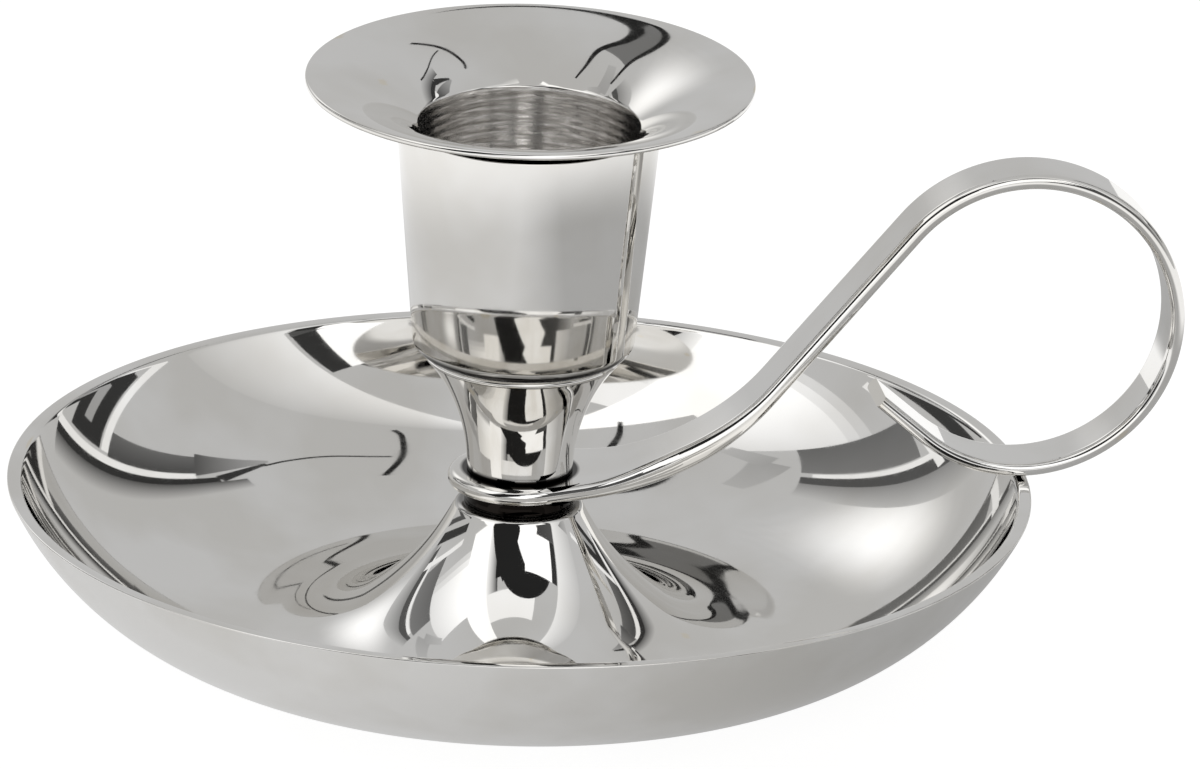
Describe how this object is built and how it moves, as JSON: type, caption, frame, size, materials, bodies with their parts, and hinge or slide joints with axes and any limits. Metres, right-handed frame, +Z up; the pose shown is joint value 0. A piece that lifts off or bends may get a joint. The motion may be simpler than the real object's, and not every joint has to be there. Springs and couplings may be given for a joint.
{
  "type": "chamber candlestick",
  "caption": "Low candlestick with a dished drip pan on a trumpet foot, a looped strip handle, a flared stem and a cup that holds a lift-out candle nozzle with a bell-shaped drip collar.",
  "frame": {"origin": "on the surface it stands on, under the middle of the whole outline, pan and handle together", "axes": "+Z up along the stem, +X from the stem towards the loop of the handle, +Y to the left of the handle"},
  "size_m": [0.1222, 0.1064, 0.0616],
  "materials": {
    "silver_plate": "polished silver plate, mirror bright with fine wear",
    "turned_metal": "turned and left unpolished, with fine rings round the bore",
    "fastener_steel": "plain zinc-grey fastener steel"
  },
  "bodies": {
    "stand": {"drip_pan": "silver_plate", "foot_spacer": "silver_plate", "handle": "silver_plate", "stem": "silver_plate", "candle_cup": "silver_plate", "tie_bolt": "fastener_steel", "head_washer": "fastener_steel", "pan_washer": "fastener_steel", "lock_washer": "fastener_steel", "hex_nut": "fastener_steel"},
    "nozzle": {"drip_collar": "silver_plate", "nozzle_sleeve": "turned_metal"}
  },
  "joints": [
    {"name": "nozzle_lift", "type": "slide", "parent": "stand", "child": "nozzle", "axis": [0, 0, 1], "range_m": [0, 0.022]}
  ]
}
